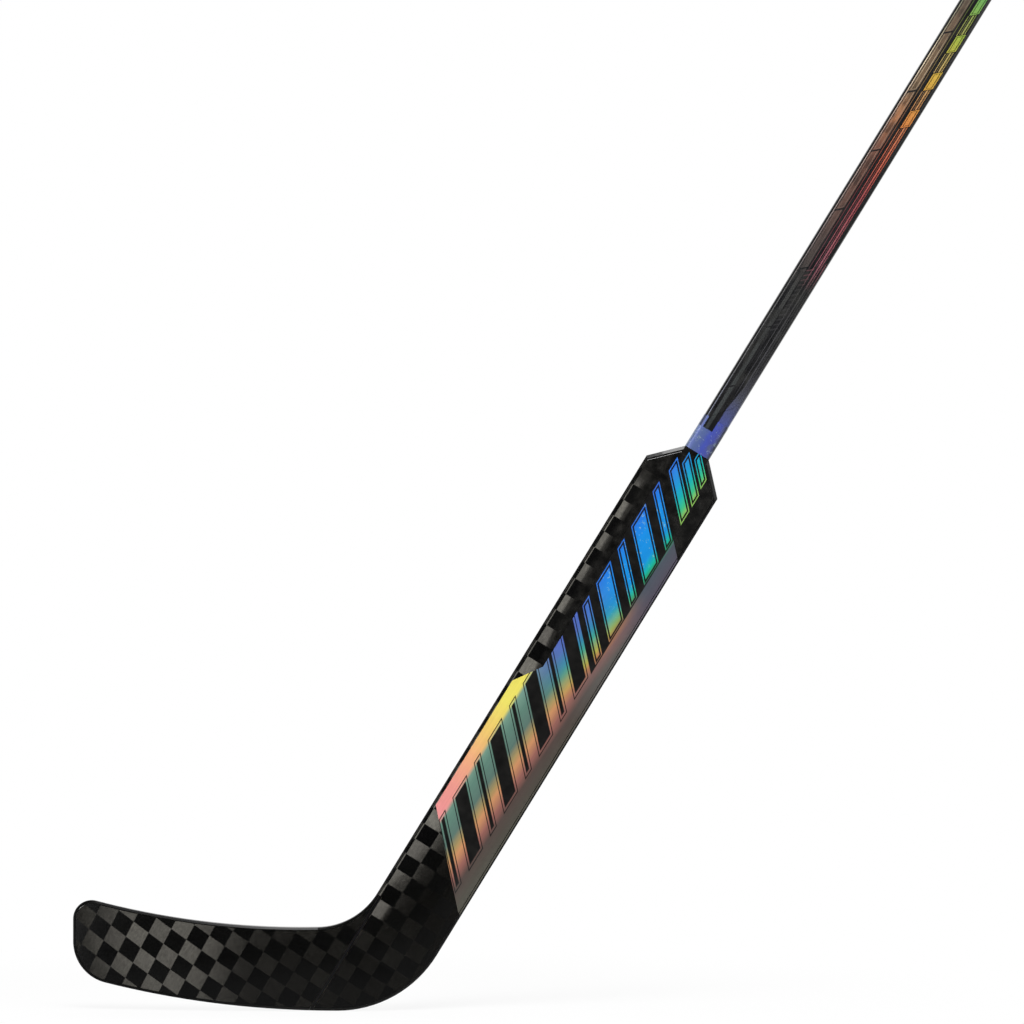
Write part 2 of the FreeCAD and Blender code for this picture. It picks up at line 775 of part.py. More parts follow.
def make_end_plug():
    # A moulded plug: a rounded flange on the butt, and a hollow ribbed spigot in the tube.
    plug = prism("end_plug", butt, [tube_outline(as_size(0.0))], size["plug_flange"])
    crest = (butt + size["plug_flange"]).value
    dress_edges(plug, "Fillet", "Radius",
                lambda edge: min(point.Z for point in edge.Vertexes) > crest - MATCH, plug_cut)
    fit = size["shaft_wall"] + size["plug_clearance"]
    spigot = new_sketch(plug, "XY_Plane", butt)
    draw(spigot, tube_outline(-fit))
    pad(plug, spigot, size["plug_length"], reverse=True)
    ribs = new_sketch(plug, "XY_Plane", butt)
    face = size["shaft_depth"] / 2 - fit
    half_rib = size["plug_rib_width"] / 2
    for across in (-(size["plug_rib_spacing"] / 2), size["plug_rib_spacing"] / 2):
        for sign in (1, -1):
            root_y = (face - size["plug_wall"] / 2) * sign
            crest_y = (face + size["plug_rib_rise"]) * sign
            draw(ribs, [(across - half_rib, root_y), (across + half_rib, root_y),
                        (across + half_rib, crest_y), (across - half_rib, crest_y)])
    pad(plug, ribs, size["plug_length"], reverse=True)
    hollow = new_sketch(plug, "XY_Plane", butt - size["plug_length"])
    draw(hollow, tube_outline(-(fit + size["plug_wall"])))
    solid_volume = volume_of(plug)
    pocket(plug, hollow, size["plug_length"] - size["plug_floor"], reverse=True)
    if volume_of(plug) >= solid_volume:
        raise RuntimeError("the end plug was not hollowed")
    return {"end_plug": plug}


def volume_of(body):
    doc.recompute()
    return body.Shape.Volume


def check(pieces):
    doc.recompute()
    for thing in doc.Objects:
        if "Invalid" in thing.State or "Error" in thing.State:
            raise RuntimeError(f"{thing.Label} failed to build")
    for label, piece in pieces.items():
        if piece.Label != label or piece.Shape.isNull() or not piece.Shape.isValid():
            raise RuntimeError(f"{label} has no valid shape")
        if not piece.Shape.Solids:
            raise RuntimeError(f"{label} is not solid")


def main():
    tenon_pocket = heel_block("heel_tenon_slot", size["bond"])
    pieces = {"heel_tenon": heel_block("heel_tenon", as_size(0.0))}
    pieces.update(make_blade(tenon_pocket))
    pieces.update(make_seam_strips())
    pieces.update(make_paddle(tenon_pocket))
    pieces.update(make_rails())
    pieces.update(make_shoulders())
    pieces.update(make_shaft())
    pieces.update(make_end_plug())
    pieces.update(make_paddle_foil())
    check(pieces)
    os.makedirs("parts", exist_ok=True)
    for label, piece in pieces.items():
        piece.Shape.exportStep(f"parts/{label}.step")


main()
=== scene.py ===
import json
import math
from functools import cached_property

import bmesh
import bpy
from mathutils import Color, Matrix, Vector

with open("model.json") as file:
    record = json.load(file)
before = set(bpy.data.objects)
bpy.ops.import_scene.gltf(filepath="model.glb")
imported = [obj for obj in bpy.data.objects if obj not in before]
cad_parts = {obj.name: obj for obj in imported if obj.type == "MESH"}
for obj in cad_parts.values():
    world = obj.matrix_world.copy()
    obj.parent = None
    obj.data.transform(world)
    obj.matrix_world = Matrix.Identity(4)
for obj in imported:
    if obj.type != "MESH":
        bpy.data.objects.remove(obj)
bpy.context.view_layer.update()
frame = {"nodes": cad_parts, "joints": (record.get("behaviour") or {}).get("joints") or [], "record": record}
nodes = frame["nodes"]
mounts = {mount["name"]: mount for mount in frame["record"]["mounts"]}

# The stick's own directions, in the plane of the photographed face
stick = {
    "paddleReach": 0.6728,  # from the heel reference up to the shaft, along the stick, in metres
    "millimetres": 1000,
}
rightAxis = Vector((1, 0, 0))
backAxis = Vector((0, 1, 0))
upAxis = Vector((0, 0, 1))
alongAxis = Vector(frame["joints"][0]["axis"]).normalized()
acrossAxis = Vector((alongAxis.z, 0, -alongAxis.x))
stickAngle = math.atan2(alongAxis.z, alongAxis.x)  # from the floor
uprightAngle = math.pi / 2 - stickAngle
stickMiddle = Vector(mounts["hand_grip"]["pos_m"]).dot(acrossAxis)
shaftFoot = min(vertex.co.dot(alongAxis) for vertex in nodes["shaft_tube"].data.vertices)
heelReference = shaftFoot - stick["paddleReach"]
print("frame loaded, the stick leans", round(math.degrees(stickAngle), 1), "degrees")


# A colour as a picture shows it, 0 to 255, in the linear values that Blender takes
def shade(*channels):
    return tuple(Color([channel / 255 for channel in channels]).from_srgb_to_scene_linear())


# Shader maths

class Wire:
    def __init__(self, shader, socket):
        self.shader = shader
        self.socket = socket

    def math(self, operation, *others):
        return self.shader.add("ShaderNodeMath", {"operation": operation}, [self, *others])

    def __abs__(self):
        return self.math("ABSOLUTE")

    def __add__(self, other):
        return self.math("ADD", other)

    def __sub__(self, other):
        return self.math("SUBTRACT", other)

    def __rsub__(self, other):
        return self.shader.add("ShaderNodeMath", {"operation": "SUBTRACT"}, [other, self])

    def __mul__(self, other):
        return self.math("MULTIPLY", other)

    def __truediv__(self, other):
        return self.math("DIVIDE", other)

    __radd__ = __add__
    __rmul__ = __mul__


class Shader:
    def __init__(self, owner, outputKind):
        owner.use_nodes = True
        self.tree = owner.node_tree
        self.tree.nodes.clear()
        self.output = self.tree.nodes.new(outputKind)

    # Any node: its settings first, then the values or links of its sockets
    def add(self, kind, settings=None, sockets=(), out=0):
        node = self.tree.nodes.new(kind)
        for name, value in (settings or {}).items():
            if name == "stops":
                self.setStops(node.color_ramp, value)
            else:
                setattr(node, name, value)
        pairs = sockets.items() if isinstance(sockets, dict) else enumerate(sockets)
        for key, value in pairs:
            if isinstance(value, Wire):
                self.tree.links.new(value.socket, node.inputs[key])
            else:
                node.inputs[key].default_value = value
        return Wire(self, node.outputs[out])

    def setStops(self, ramp, stops):
        while len(ramp.elements) < len(stops):
            ramp.elements.new(0.5)
        for element, (position, colour) in zip(ramp.elements, stops):
            element.position = position
            element.color = (*colour, 1)

    def vectorMath(self, operation, sockets, out=0):
        return self.add("ShaderNodeVectorMath", {"operation": operation}, sockets, out)

    # 0 below an edge and 1 above it, softened over a width
    def rise(self, value, edge, soft):
        return self.add("ShaderNodeMapRange", {"interpolation_type": "SMOOTHSTEP"},
                        [value, edge - soft / 2, edge + soft / 2])

    def fall(self, value, edge, soft):
        return 1 - self.rise(value, edge, soft)

    def band(self, value, low, high, soft):
        return self.rise(value, low, soft) - self.rise(value, high, soft)

    def ray(self, kind):
        return self.add("ShaderNodeLightPath", out=f"Is {kind} Ray")

    # 1 for rays from the camera, straight or through something clear
    def looked(self):
        return self.ray("Camera").math("MAXIMUM", self.ray("Transmission"))

    def show(self, surface):
        self.tree.links.new(surface.socket, self.output.inputs["Surface"])


# A finish on the stick, drawn by where each point lies on it
class Finish(Shader):
    def __init__(self, name):
        self.material = bpy.data.materials.new(name)
        super().__init__(self.material, "ShaderNodeOutputMaterial")
        self.point = self.add("ShaderNodeTexCoord", out="Object")

    # How far along an axis a point lies from a start, in millimetres
    def place(self, axis, start=0):
        measure = self.vectorMath("DOT_PRODUCT", [self.point, axis], "Value")
        return (measure - start) * stick["millimetres"]

    @cached_property
    def across(self):
        return self.place(acrossAxis, stickMiddle)

    @cached_property
    def along(self):
        return self.place(alongAxis, heelReference)

    # Where the slanted line through a point crosses the stick's middle
    def slanted(self, slant):
        return self.along - self.across * slant

    # 1 on the photographed side
    def front(self, edge, soft):
        return self.fall(self.place(backAxis), edge, soft)

    # Distance outside a strip, below 0 inside it
    def beyond(self, value, low, high):
        return (low - value).math("MAXIMUM", value - high)

    # Distance from the nearest of a row of lines
    def fromRow(self, value, first, pitch):
        turn = ((value - first) / pitch + 0.5).math("FRACT") - 0.5
        return abs(turn * pitch)

    # A Mix node has sockets for each kind of data: 6 and 7 give colours to 2, 4 and 5 vectors to 1
    def mix(self, share, first, second, way="MIX"):
        first, second = [tone if isinstance(tone, Wire) else (*tone, 1) for tone in (first, second)]
        return self.add("ShaderNodeMix", {"data_type": "RGBA", "blend_type": way},
                        {0: share, 6: first, 7: second}, 2)

    def mixVectors(self, share, first, second):
        return self.add("ShaderNodeMix", {"data_type": "VECTOR"}, {0: share, 4: first, 5: second}, 1)

    # A colour ramp whose stops are given as (place, picture colour)
    def ramp(self, value, stops):
        low, high = stops[0][0], stops[-1][0]
        spread = [((place - low) / (high - low), shade(*colour)) for place, colour in stops]
        return self.add("ShaderNodeValToRGB", {"stops": spread}, [(value - low) / (high - low)])

    def noise(self, point, scale, detail, rough=0.5, out=0):
        return self.add("ShaderNodeTexNoise", None, {
            "Vector": point, "Scale": scale, "Detail": detail, "Roughness": rough}, out)

    # Grain drawn out along the stick
    def grain(self, scale, drawn, detail):
        turned = self.add("ShaderNodeMapping", None, {
            "Vector": self.point, "Rotation": (0, -uprightAngle, 0)})
        return self.noise(self.vectorMath("MULTIPLY", [turned, (1, 1, drawn)]), scale, detail)

    # Darker where a grain is low
    def darken(self, colour, grain, share, tone, low=0.3, high=0.7):
        shadow = self.ramp(grain, [(low, (tone, tone, tone)), (high, (255, 255, 255))])
        return self.mix(share, colour, shadow, "MULTIPLY")

    def lean(self, direction):
        facing = self.add("ShaderNodeNewGeometry", out="Normal")
        return self.vectorMath("NORMALIZE", [self.vectorMath("ADD", [facing, direction])])

    def bump(self, height, strength, distance=0.0002, normal=None):
        sockets = {"Height": height, "Strength": strength, "Distance": distance}
        if normal:
            sockets["Normal"] = normal
        return self.add("ShaderNodeBump", None, sockets)

    def surface(self, sockets):
        self.show(self.add("ShaderNodeBsdfPrincipled", None, sockets))
        return self.material


def paint(material, *names):
    for name in names:
        mesh = nodes[name].data
        mesh.materials.clear()
        mesh.materials.append(material)


# In the dictionaries below places are in millimetres, across the stick from its middle and along it
# from the heel. An edge is (place, softness), a band (from, to, softness), a grain (scale, how far it
# is drawn out along the stick, detail) and a noise (scale, detail, roughness).

# Short curled lines where a foil is creased under the lacquer, which the finishes below paint lighter as
# painted glints

crease = {
    "warp": (300, 1),
    "curl": 0.006,
    "cellsPerMetre": 210,
    "lineEdge": (0.05, 0.05),
    "patches": (240, 1),
    "patchEdge": (0.61, 0.05),  # creases only show in patches
}


def creases(finish):
    warp = finish.noise(finish.point, *crease["warp"], out="Color")
    curled = finish.mixVectors(crease["curl"], finish.point, warp)
    cells = finish.add("ShaderNodeTexVoronoi", {"feature": "DISTANCE_TO_EDGE"},
                       {"Vector": curled, "Scale": crease["cellsPerMetre"]})
    patches = finish.noise(finish.point, *crease["patches"])
    return finish.fall(cells, *crease["lineEdge"]) * finish.rise(patches, *crease["patchEdge"])


# Cloudy patches in black ink and in the black tint on the cloth

smudge = {
    "clouds": (90, 4, 0.6),
    "edge": (0.54, 0.5),
}


def smudges(finish):
    return finish.rise(finish.noise(finish.point, *smudge["clouds"]), *smudge["edge"])


# Rainbow foil with slanted bars on the paddle

paddleFoil = {
    # Sets of colours across the foil: each takes over from the last one further along, and shifts
    # across by its drift for each millimetre along from its start
    "colourSets": [
        {"start": 230, "drift": 0.035,
         "colours": [(-30, (130, 170, 150)), (-20, (105, 145, 130)), (-6, (100, 130, 120)),
                     (2, (185, 160, 105)), (8, (225, 160, 110)), (18, (170, 110, 100)),
                     (27, (95, 80, 75)), (41, (90, 88, 78))]},
        {"start": 420, "drift": 0.1, "takeOver": (387.5, 85),
         "colours": [(-30, (95, 110, 205)), (-12, (90, 120, 200)), (-2, (60, 150, 190)),
                     (6, (75, 182, 155)), (17, (195, 190, 85)), (22, (205, 140, 95)),
                     (28, (145, 110, 105)), (37, (105, 102, 98))]},
        {"start": 540, "drift": 0.04, "takeOver": (480, 80),
         "colours": [(-30, (85, 90, 215)), (-16, (40, 135, 248)), (-4, (25, 158, 252)),
                     (13, (25, 160, 245)), (21, (20, 202, 178)), (24, (50, 180, 125)),
                     (28, (88, 98, 110)), (41, (95, 90, 105))]},
    ],
    "stripColours": [(200, (255, 160, 160)), (235, (255, 166, 152)), (270, (255, 186, 136)),
                     (304, (255, 216, 118)), (340, (255, 242, 112)), (395, (252, 240, 104))],
    "stripEdge": (-27.5, 5),  # a strip of its own colours lies left of here
    "streaks": (700, 0.02, 2),
    "streakShade": (0.15, 190),  # share and darkest tone
    # Painted glints along the creases: where they show, how strongly, and their colour
    "creaseAbove": (480, 60),
    "creaseLeft": (20, 4),
    "creaseGlintShare": 0.45,
    "creaseGlintTone": shade(190, 235, 190),
    "ink": (shade(11, 10, 10), shade(36, 35, 33)),
    "inkSmudge": 0.7,
    "barSlant": -1.03,  # bars lie along the cut ends of the foil
    "barStart": 206,
    "barPitch": 71.6,
    "thickHalf": 7.4,
    "thinHalf": 2.0,
    "barReach": (-27, 24),
    "barEdge": (0, 0.5),
    "keyline": (1.7, 2.7, 0.4),  # outside a bar's edge
    "invertFrom": (440, 0.4),  # bars are ink below here and foil above
    "upperInset": 11,  # and start this much further right above
    "sideEdge": (27.5, 0.5),  # no ink right of here
    "hairline": (26.1, 27.3, 0.4),
    "endReach": (163, 607.5, 0.5),  # the cut ends, measured along the middle of the paddle
    "railReach": (42.7, 0.5),  # the foil's colour runs on over the edge band to here
    "railFront": (0, 1),
    "crownBars": [(633, 3.4, -13, 23), (654, 2.4, -5, 23), (672, 1.5, 4, 21)],  # place, half, left, right
    "crownColours": [(-14, (60, 130, 240)), (0, (40, 160, 225)), (10, (30, 190, 190)),
                     (18, (70, 205, 140)), (23, (150, 200, 100))],
    "metal": 0.12,
    "rough": 0.3,
    "roughGrain": 0.08,
    "bump": 0.05,
    "coat": 0.5,
    "coatRough": 0.05,
}
barLevel = math.cos(math.atan(paddleFoil["barSlant"]))  # makes a distance along the stick one across a bar


def colourAcross(finish, part):
    shifted = finish.across - (finish.along - part["start"]) * part["drift"]
    return finish.ramp(shifted, part["colours"])


# Colours that run over the foil
def foilColour(finish):
    first, *others = paddleFoil["colourSets"]
    colour = colourAcross(finish, first)
    for part in others:
        colour = finish.mix(finish.rise(finish.along, *part["takeOver"]), colour, colourAcross(finish, part))
    return colour


# A bar and its keyline, drawn by how far outside the bar's edge a point lies
def barPrint(finish, outside):
    return finish.fall(outside, *paddleFoil["barEdge"]) + finish.band(outside, *paddleFoil["keyline"])


# Bars printed on the cloth above the foil, thinner and shorter towards the shaft
def crownBars(finish):
    slanted = finish.slanted(paddleFoil["barSlant"])
    drawn = 0
    for place, half, left, right in paddleFoil["crownBars"]:
        outside = abs(slanted - place) * barLevel - half
        outside = outside.math("MAXIMUM", finish.beyond(finish.across, left, right))
        drawn = barPrint(finish, outside) + drawn
    return drawn


# Thick and thin bars on the foil: where the ink lies
def foilInk(finish):
    look = paddleFoil
    across, slanted = finish.across, finish.slanted(look["barSlant"])
    start, pitch = look["barStart"], look["barPitch"]
    thick = finish.fromRow(slanted, start, pitch) * barLevel - look["thickHalf"]
    thin = finish.fromRow(slanted, start + pitch / 2, pitch) * barLevel - look["thinHalf"]
    upper = finish.rise(slanted, *look["invertFrom"])
    left, right = look["barReach"]
    reach = finish.beyond(across, left + upper * look["upperInset"], right)
    drawn = barPrint(finish, thick.math("MINIMUM", thin).math("MAXIMUM", reach))
    inked = drawn + upper - drawn * upper * 2
    hairline = finish.band(across, *look["hairline"]) * upper
    return (inked * finish.fall(across, *look["sideEdge"])).math("MAXIMUM", hairline)


def paddleFoilFinish():
    look = paddleFoil
    finish = Finish("paddleFoil")
    across, along = finish.across, finish.along
    inner = finish.rise(across, *look["stripEdge"])
    colour = finish.mix(inner, finish.ramp(along, look["stripColours"]), foilColour(finish))
    streaks = finish.grain(*look["streaks"])
    colour = finish.darken(colour, streaks, *look["streakShade"])
    # Painted glints: lighter curled lines along the creases on the upper left of the foil
    creased = finish.rise(along, *look["creaseAbove"]) * finish.fall(across, *look["creaseLeft"])
    creased = creases(finish) * creased * look["creaseGlintShare"]
    colour = finish.mix(creased, colour, look["creaseGlintTone"])
    inked = foilInk(finish)
    ink = finish.mix(smudges(finish) * look["inkSmudge"], *look["ink"])
    return finish.surface({
        "Base Color": finish.mix(inked, colour, ink),
        "Metallic": look["metal"] * (1 - inked),
        "Roughness": look["rough"] + streaks * look["roughGrain"],
        "Normal": finish.bump(streaks, look["bump"]),
        "Coat Weight": look["coat"],
        "Coat Roughness": look["coatRough"],
    })


paint(paddleFoilFinish(), "paddle_foil")
print("paddle foil laid")


# Carbon checker weave of the blade and the paddle

weave = {
    "lightTow": (shade(102, 100, 94), shade(82, 80, 76)),  # each square's tone lies between the two
    "darkTow": (shade(5, 5, 5), shade(14, 14, 13)),
    "fibres": (1400, 0.06, 2),
    "fibreShade": (0.2, 130),  # share and darkest tone
    "blotches": (420, 0.6, 4),
    "blotchShade": (0.55, 150),
    "lightLean": math.radians(14),  # light squares lean towards the upper edge of the paddle
    "darkLean": math.radians(5),  # and dark ones towards the butt
    "heelLean": math.radians(6),  # cloth drawn round the heel leans more, within these edges
    "heelAbove": (66, 4),
    "heelBelow": (100, 24),
    "heelLeft": (-26, 8),
    "paddlePitch": (18.5, 18.62),
    "paddleStart": (-40.2, 70.3),
    "paddleDraw": 0.00000316,  # rows lie a little further apart towards the shaft
    "wrapEdge": (-43.3, 0.6),  # the cloth is wrapped over the inner edge to here
    "bladePitch": (19.45, 18.0),
    "bladeStart": (12.83, 5.75),
    "bladeTurn": (0.000346, 0.000369),  # radians for each millimetre towards the toe
    "bladeMiddle": 50,
    "tinted": shade(44, 43, 41),
    "tintTop": (622, 44),  # black tint covers the cloth above here
    "tintAbove": (385, 20),  # and on the front, beside the foil, above here and right of the next edge
    "tintRight": (-23, 9),
    "tintWider": (415, 90),  # past here that edge moves to the left
    "tintDrift": 9,  # by this much
    "metal": 0.975,
    "rough": 0.19,
    "roughGrain": 0.06,
    "gloss": 0.35,
    "bump": 0.08,
    "coat": 0.24,
    "coatRough": 0.04,
}


# Column and row of the squares, and 1 where cloth lies
def paddleCells(finish):
    start, pitch = weave["paddleStart"], weave["paddlePitch"]
    column = (finish.across - start[0]) / pitch[0]
    reach = finish.along - start[1]
    row = reach / pitch[1] - reach * reach * weave["paddleDraw"]
    return column, row, finish.rise(finish.across, *weave["wrapEdge"])


# The cloth is square with the paddle at the heel and turns a little towards the toe
def bladeCells(finish):
    x = finish.place(rightAxis)
    z = finish.place(upAxis) - weave["bladeMiddle"]
    columnTurn, rowTurn = weave["bladeTurn"]
    column = x * (stickAngle - x * (columnTurn / 2)).math("SINE")
    column = column - z * (stickAngle - x * columnTurn).math("COSINE")
    row = x * (uprightAngle - x * (rowTurn / 2)).math("SINE")
    row = row + z * (uprightAngle - x * rowTurn).math("COSINE")
    start, pitch = weave["bladeStart"], weave["bladePitch"]
    return column / pitch[0] + start[0], row / pitch[1] + start[1], 1


# Black tint on the cloth: up by the shoulders, and on the front beside the foil too
def weaveTint(finish, printed):
    tint = finish.rise(finish.along, *weave["tintTop"])
    if printed:
        drift = finish.rise(finish.along, *weave["tintWider"]) * weave["tintDrift"]
        side = finish.rise(finish.across + drift, *weave["tintRight"])
        tint = tint.math("MAXIMUM", side * finish.rise(finish.along, *weave["tintAbove"]))
    return tint


# Fibres lie across the light squares and along the dark ones, so each catches the light in its own way
def weaveNormal(finish, light, fibres):
    look = weave
    drawn = finish.rise(finish.along, *look["heelAbove"]) * finish.fall(finish.along, *look["heelBelow"])
    drawn = drawn * finish.fall(finish.across, *look["heelLeft"])
    slope = math.tan(look["lightLean"]) + drawn * math.tan(look["heelLean"])
    lightWay = finish.vectorMath("SCALE", {0: -acrossAxis, "Scale": slope})
    darkWay = alongAxis * math.tan(look["darkLean"])
    leaning = finish.lean(finish.mixVectors(light, darkWay, lightWay))
    return finish.bump(fibres, look["bump"], normal=leaning)


def weaveFinish(name, cells, printed=False):
    look = weave
    finish = Finish(name)
    column, row, covered = cells(finish)
    column, row = column.math("FLOOR"), row.math("FLOOR")
    square = finish.add("ShaderNodeCombineXYZ", None, [column, row])
    chance = finish.add("ShaderNodeTexWhiteNoise", {"noise_dimensions": "2D"}, {"Vector": square}, "Value")
    tint = weaveTint(finish, printed)
    light = (1 - (column + row).math("FLOORED_MODULO", 2)) * covered * (1 - tint)
    dark = finish.mix(smudges(finish) * tint, finish.mix(chance, *look["darkTow"]), look["tinted"])
    tow = finish.mix(light, dark, finish.mix(chance, *look["lightTow"]))
    fibres = finish.grain(*look["fibres"])
    blotches = finish.grain(*look["blotches"])
    tow = finish.darken(tow, blotches, *look["blotchShade"])
    tow = finish.darken(tow, fibres, *look["fibreShade"])
    metal = light * look["metal"]
    if printed:
        bars = crownBars(finish)
        tow = finish.mix(bars, tow, finish.ramp(finish.across, paddleFoil["crownColours"]))
        metal = metal + bars * paddleFoil["metal"]
    return finish.surface({
        "Base Color": tow,
        "Metallic": metal,
        "Roughness": look["rough"] + blotches * look["roughGrain"],
        "Normal": weaveNormal(finish, light, fibres),
        "Specular IOR Level": look["gloss"],
        "Coat Weight": look["coat"],
        "Coat Roughness": look["coatRough"],
    })


paint(weaveFinish("paddleFrontWeave", paddleCells, True), "paddle_front_skin")
paint(weaveFinish("paddleWeave", paddleCells), "paddle_back_skin", "paddle_inner_rail")
paint(weaveFinish("bladeWeave", bladeCells), "blade_front_skin", "blade_back_skin")
print("weave laid")


# Black laminate of the edges, the seam and the tenons

laminate = {
    "fibres": (1100, 0.04, 3),
    "fibreEdge": (0.5, 0.4),
    "rough": 0.22,
    "roughGrain": 0.16,
    "bump": 0.08,
    "coatRough": 0.05,
    "kinds": {
        "capLaminate": {"dark": shade(12, 12, 12), "light": shade(26, 26, 25), "coat": 0.7, "gloss": 0.5,
                        "nodes": ["outer_shoulder_cap", "inner_shoulder_cap"]},
        "rimLaminate": {"dark": shade(6, 6, 6), "light": shade(16, 16, 15), "coat": 0.5, "gloss": 0.1,
                        "scuffed": (-110, 130), "nodes": ["blade_rim"]},  # the toe is scuffed dull to here
        "railLaminate": {"dark": shade(6, 6, 6), "light": shade(16, 16, 15), "coat": 0.2, "gloss": 0.25,
                         "foiled": True, "nodes": ["paddle_outer_rail"]},
        "seamLaminate": {"dark": shade(9, 9, 9), "light": shade(22, 22, 21), "coat": 0.1, "gloss": 0.25,
                         "nodes": ["heel_seam_front", "heel_seam_back"]},
        "tenonLaminate": {"dark": shade(60, 60, 60), "light": shade(90, 90, 88), "coat": 0.0, "gloss": 0.5,
                          "nodes": ["heel_tenon", "shaft_tenon"]},
    },
}


def laminateFinish(name, look):
    finish = Finish(name)
    fibres = finish.grain(*laminate["fibres"])
    tone = finish.mix(finish.rise(fibres, *laminate["fibreEdge"]), look["dark"], look["light"])
    if "foiled" in look:
        covered = finish.band(finish.slanted(paddleFoil["barSlant"]), *paddleFoil["endReach"])
        covered = covered * finish.fall(finish.across, *paddleFoil["railReach"])
        covered = covered * finish.front(*paddleFoil["railFront"])
        tone = finish.mix(covered, tone, foilColour(finish))
    coat = look["coat"]
    if "scuffed" in look:
        coat = finish.rise(finish.place(rightAxis), *look["scuffed"]) * coat
    return finish.surface({
        "Base Color": tone,
        "Roughness": laminate["rough"] + fibres * laminate["roughGrain"],
        "Normal": finish.bump(fibres, laminate["bump"]),
        "Specular IOR Level": look["gloss"],
        "Coat Weight": coat,
        "Coat Roughness": laminate["coatRough"],
    })


for name, look in laminate["kinds"].items():
    paint(laminateFinish(name, look), *look["nodes"])
print("laminate laid")


# Foam that the skins cover

foam = {
    "cell": shade(236, 229, 212),
    "wall": shade(204, 194, 172),
    "cellsPerMetre": 900,
    "rough": 0.9,
    "bump": (0.5, 0.0004),  # strength, and depth in metres
}


def foamFinish():
    finish = Finish("foamCells")
    cells = finish.add("ShaderNodeTexVoronoi", None,
                       {"Vector": finish.point, "Scale": foam["cellsPerMetre"]}, "Distance")
    return finish.surface({
        "Base Color": finish.mix(cells, foam["cell"], foam["wall"]),
        "Roughness": foam["rough"],
        "Normal": finish.bump(cells, *foam["bump"]),
    })


paint(foamFinish(), "blade_core", "paddle_lower_core", "paddle_outer_core", "paddle_inner_core")
print("foam filled")


# Shaft laminate with a panel, pinstripes and blocks printed on its face

shaftPrint = {
    "ground": shade(22, 22, 24),
    "fibre": shade(44, 44, 46),
    "fibres": (900, 0.05, 3),
    "fibreEdge": (0.55, 0.4),
    # Colour of the painted shade on the corners
    "ink": shade(10, 10, 10),
    "smoke": shade(66, 66, 63),
    "smokeGrain": (95, 0.45, 5),
    "smokeEdge": (0.54, 0.2),
    "smokeShare": 0.4,
    "smokeLess": 0.25,  # taken off that share in the coloured part
    "printDepth": (-6.5, 2.5),  # the print ends on the front corners
    "slant": 0.9,
    "colourFrom": 905,  # the coloured part starts here
    "colourSoft": 6,
    "footColours": [(712, (80, 88, 150)), (726, (80, 86, 126)), (744, (80, 82, 96)), (760, (64, 64, 72)),
                    (786, (34, 34, 36))],
    "footEdge": (2.2, 1.2),  # the foot's colour lies right of here
    "footRun": (728, 0.13),  # and runs to the right past here, by this for each millimetre
    "footTop": (786, 10),
    "panelColours": [(712, (66, 70, 70)), (880, (66, 66, 65)), (940, (84, 72, 68)), (1055, (124, 86, 72)),
                     (1090, (182, 126, 90)), (1125, (128, 106, 82)), (1220, (112, 94, 80)),
                     (1350, (94, 108, 106))],
    "panelReach": (-10.3, -3.4),
    "panelNarrow": 3.0,  # the panel's left edge comes in by this below the coloured part
    "panelPitch": 74,
    "panelGap": 2.2,
    "panelEdge": (0, 0.4),
    "panelShare": 0.8,
    "panelGrain": 0.5,
    "brushed": 0.65,  # share of the panel that the smoke takes away
    "outline": (-1.6, -1.0, 0.3),  # inside the panel's edge
    "outlineShare": 0.55,
    # Colours of the panel's printed outline and of a painted highlight down the left corner
    "outlineAndHighlightColours": [(712, (112, 118, 140)), (770, (74, 74, 76)), (880, (66, 64, 62)), (930, (116, 100, 98)),
                    (1090, (180, 150, 134)), (1160, (240, 220, 184)), (1200, (150, 140, 112)),
                    (1350, (96, 128, 118))],
    # The painted highlight down the left corner
    "leftCornerHighlight": (-12.0, -11.2, 0.4),
    # Painted shade: a dark line on the left corner and a dark band on the right one
    "leftCornerShade": (-13.9, -12.6, 0.4),
    "rightCornerShade": (11.7, 14.0, 0.8),
    "stripeColours": [(740, (82, 82, 88)), (880, (74, 73, 72)), (915, (170, 104, 116)),
                      (1000, (186, 92, 94)), (1050, (232, 122, 92)), (1160, (214, 186, 116)),
                      (1230, (160, 184, 96)), (1350, (84, 180, 140))],
    "stripesFrom": (752, 30),
    "stripeSoft": 0.3,
    "stripes": [(2.6, 0.7), (6.8, 1.5), (9.1, 0.9)],  # place and width
    "hairlines": [(-1.4, 0.75), (4.6, 0.75)],  # only in the coloured part
    "hairlineShare": 0.3,
    "edgeStripe": (12.0, 0.75),  # only below it
    "blockColours": [(1060, (240, 128, 80)), (1100, (240, 162, 84)), (1150, (236, 196, 84)),
                     (1200, (176, 202, 84)), (1250, (124, 194, 110)), (1350, (60, 180, 160))],
    "blockFrom": 1066,
    "blockFromSoft": 1,
    "blockReach": (2.8, 10.6),
    "blockPitch": 47,
    "blockHalf": 10.5,
    "blockEdge": (0, 0.3),
    "blockMargin": (0.9, 0.3),
    "blockKeyline": (-2.0, -1.2, 0.3),  # inside a block's edge
    "blockKeylineShare": 0.8,
    "hatchPitch": 6.2,
    "hatchLine": (0.3, 0.6, 0.12),  # in shares of the pitch
    "hatchAcross": (-2.4, 3.8, 0.4),
    "hatchAlong": (822, 905, 1),
    "hatchShare": 0.35,
    "metal": 0.2,
    "rough": 0.24,
    "roughGrain": 0.12,
    "bump": 0.06,
    "coat": 0.6,
    "coatRough": 0.05,
}


# The foot's colour, which runs up the right side
def footPrint(finish):
    bend, run = shaftPrint["footRun"]
    risen = (finish.along - bend).math("MAXIMUM", 0) * run
    side = finish.rise(finish.across - risen, *shaftPrint["footEdge"])
    return side * finish.fall(finish.along, *shaftPrint["footTop"])


